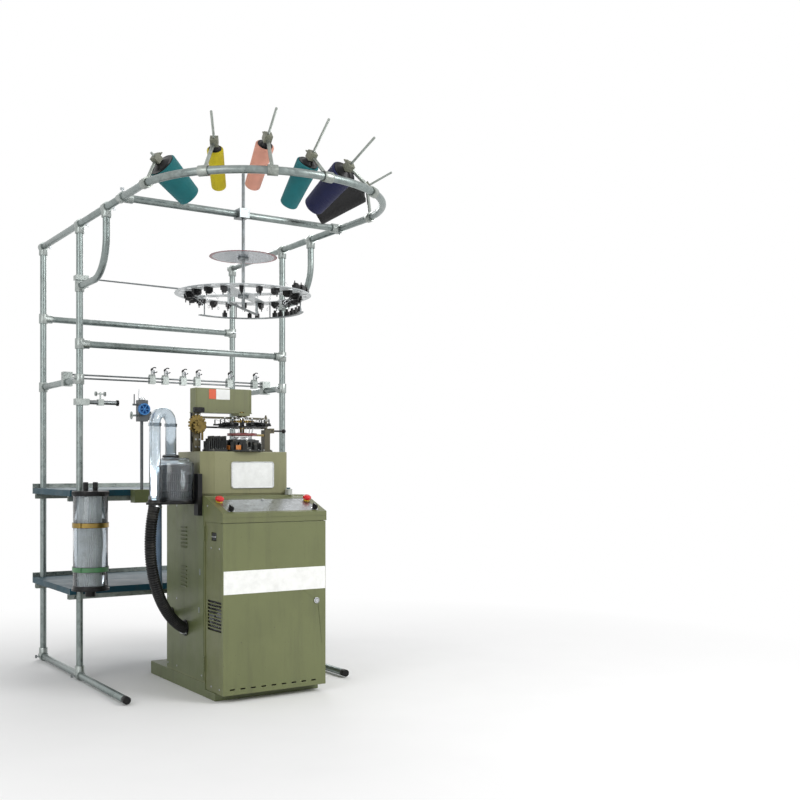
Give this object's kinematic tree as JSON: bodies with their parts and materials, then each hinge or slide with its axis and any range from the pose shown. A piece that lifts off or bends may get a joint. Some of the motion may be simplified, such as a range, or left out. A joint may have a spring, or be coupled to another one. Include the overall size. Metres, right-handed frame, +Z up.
{
  "type": "industrial sock knitting machine",
  "caption": "Computerised sock knitting machine: olive cabinet, circular knitting head, suction jar, filter canister and a galvanised pipe creel with yarn cones, sensor discs and shelves.",
  "frame": {"origin": "on the floor, on the machine base's underside, under the axis of the needle cylinder", "axes": "+Z up; +X to the right of an operator who faces the front door; +Y to the back, towards the shelves"},
  "size_m": [1.3241, 2.2549, 2.5446],
  "materials": {
    "body_paint": "semi-gloss olive enamel",
    "head_paint": "semi-gloss light olive enamel",
    "zinc": "galvanised",
    "clamp_zinc": "cast, zinc plated",
    "steel": "satin",
    "bright_steel": "polished",
    "dark_iron": "oiled",
    "brass": "aged",
    "column_paint": "satin brown",
    "red_metal": "anodised",
    "shelf_paint": "satin teal enamel",
    "black_plastic": "matte",
    "black_rubber": "matte",
    "blue_hose": "satin",
    "red_plastic": "gloss",
    "white_plate": "gloss",
    "clear_plastic": "clear",
    "disc_plate": "satin",
    "filter_cloth": "fibrous",
    "feeder_body": "satin",
    "feeder_blue": "anodised",
    "board_green": "matte",
    "motor_grey": "satin",
    "yarn_teal": "wound yarn",
    "yarn_yellow": "wound yarn",
    "yarn_pink": "wound yarn",
    "yarn_navy": "wound yarn",
    "yarn_black": "wound yarn"
  },
  "bodies": {
    "machine": {"base": "body_paint", "body": "body_paint", "side_panel": "body_paint", "front_box": "body_paint", "console": "body_paint", "console_panel": "steel", "control_board": "board_green", "motor": "motor_grey", "belt": "black_rubber", "head_housing": "head_paint", "badge": "white_plate", "cylinder_drum": "dark_iron", "feeder_heads": "dark_iron", "brass_plates": "brass", "columns": "column_paint", "ring_arms": "red_metal", "upper_box": "body_paint", "suction_glass": "clear_plastic", "suction_base": "black_plastic", "suction_hose": "black_rubber", "blue_hose": "blue_hose", "filter_tube": "clear_plastic", "filter_fittings": "black_plastic", "filter_bag": "filter_cloth", "feeder_stand": "feeder_body", "posts": "zinc", "creel_bars": "zinc", "ring": "zinc", "braces": "zinc", "end_caps": "black_rubber", "clamps": "clamp_zinc", "clamp_screws": "bright_steel", "shelves": "shelf_paint", "shelf_rails": "zinc", "hanging_rod": "steel", "sensor_disc": "disc_plate", "top_disc": "disc_plate", "sensors": "black_plastic", "guide_rods": "bright_steel", "guide_blocks": "clamp_zinc", "holder_arms": "zinc", "holder_blocks": "clamp_zinc", "cone_bases": "black_plastic", "cones_teal": "yarn_teal", "cone_yellow": "yarn_yellow", "cone_pink": "yarn_pink", "cone_navy": "yarn_navy", "cone_black": "yarn_black"},
    "door": {"front_door": "body_paint"},
    "lock": {"door_lock": "bright_steel"},
    "stop_left": {"stop_button_left": "red_plastic"},
    "stop_right": {"stop_button_right": "red_plastic"},
    "knob_l": {"knob_left": "black_plastic"},
    "knob_r": {"knob_right": "black_plastic"},
    "spindle": {"drive_shaft": "steel", "needle_cylinder": "bright_steel"},
    "dial_unit": {"dial": "brass"},
    "motor_rotor": {"motor_pulley": "steel"},
    "hand_lever": {"lever": "dark_iron"},
    "yarn_wheel": {"feeder_wheel": "feeder_blue"}
  },
  "joints": [
    {"name": "front_door_hinge", "type": "hinge", "parent": "machine", "child": "door", "pos_m": [-0.23, -0.269, 0.42], "axis": [0, 0, -1], "range_deg": [0, 110]},
    {"name": "door_lock_turn", "type": "hinge", "parent": "door", "child": "lock", "pos_m": [0.252, -0.279, 0.439], "axis": [0, 1, 0], "range_deg": [0, 90]},
    {"name": "stop_button_left_press", "type": "slide", "parent": "machine", "child": "stop_left", "axis": [0, 0.3582, -0.9336], "range_m": [0, 0.005], "stiffness_N_per_m": 800, "springref_m": -0.002},
    {"name": "stop_button_right_press", "type": "slide", "parent": "machine", "child": "stop_right", "axis": [0, 0.3582, -0.9336], "range_m": [0, 0.005], "stiffness_N_per_m": 800, "springref_m": -0.002},
    {"name": "knob_left_turn", "type": "hinge", "parent": "machine", "child": "knob_l", "pos_m": [-0.178, -0.259, 0.87451], "axis": [0, -0.3582, 0.9336], "range_deg": [-45, 45]},
    {"name": "knob_right_turn", "type": "hinge", "parent": "machine", "child": "knob_r", "pos_m": [0.258, -0.259, 0.87451], "axis": [0, -0.3582, 0.9336], "range_deg": [-45, 45]},
    {"name": "needle_cylinder_spin", "type": "hinge", "parent": "machine", "child": "spindle", "pos_m": [0, 0, 1], "axis": [0, 0, 1], "continuous": true},
    {"name": "dial_spin", "type": "hinge", "parent": "machine", "child": "dial_unit", "pos_m": [0, 0, 1.25], "axis": [0, 0, 1], "continuous": true},
    {"name": "motor_spin", "type": "hinge", "parent": "machine", "child": "motor_rotor", "pos_m": [0.15, 0.21, 0.48], "axis": [0, 0, 1], "continuous": true},
    {"name": "hand_lever_swing", "type": "hinge", "parent": "machine", "child": "hand_lever", "pos_m": [0.184, 0.06, 1.254], "axis": [0, 1, 0], "range_deg": [-30, 30]},
    {"name": "yarn_wheel_spin", "type": "hinge", "parent": "machine", "child": "yarn_wheel", "pos_m": [-0.286, 0.597, 1.372], "axis": [0, 1, 0], "continuous": true}
  ],
  "couplings": [
    {"joint": "dial_spin", "follows": "needle_cylinder_spin", "ratio": 1},
    {"joint": "motor_spin", "follows": "needle_cylinder_spin", "ratio": 2}
  ]
}
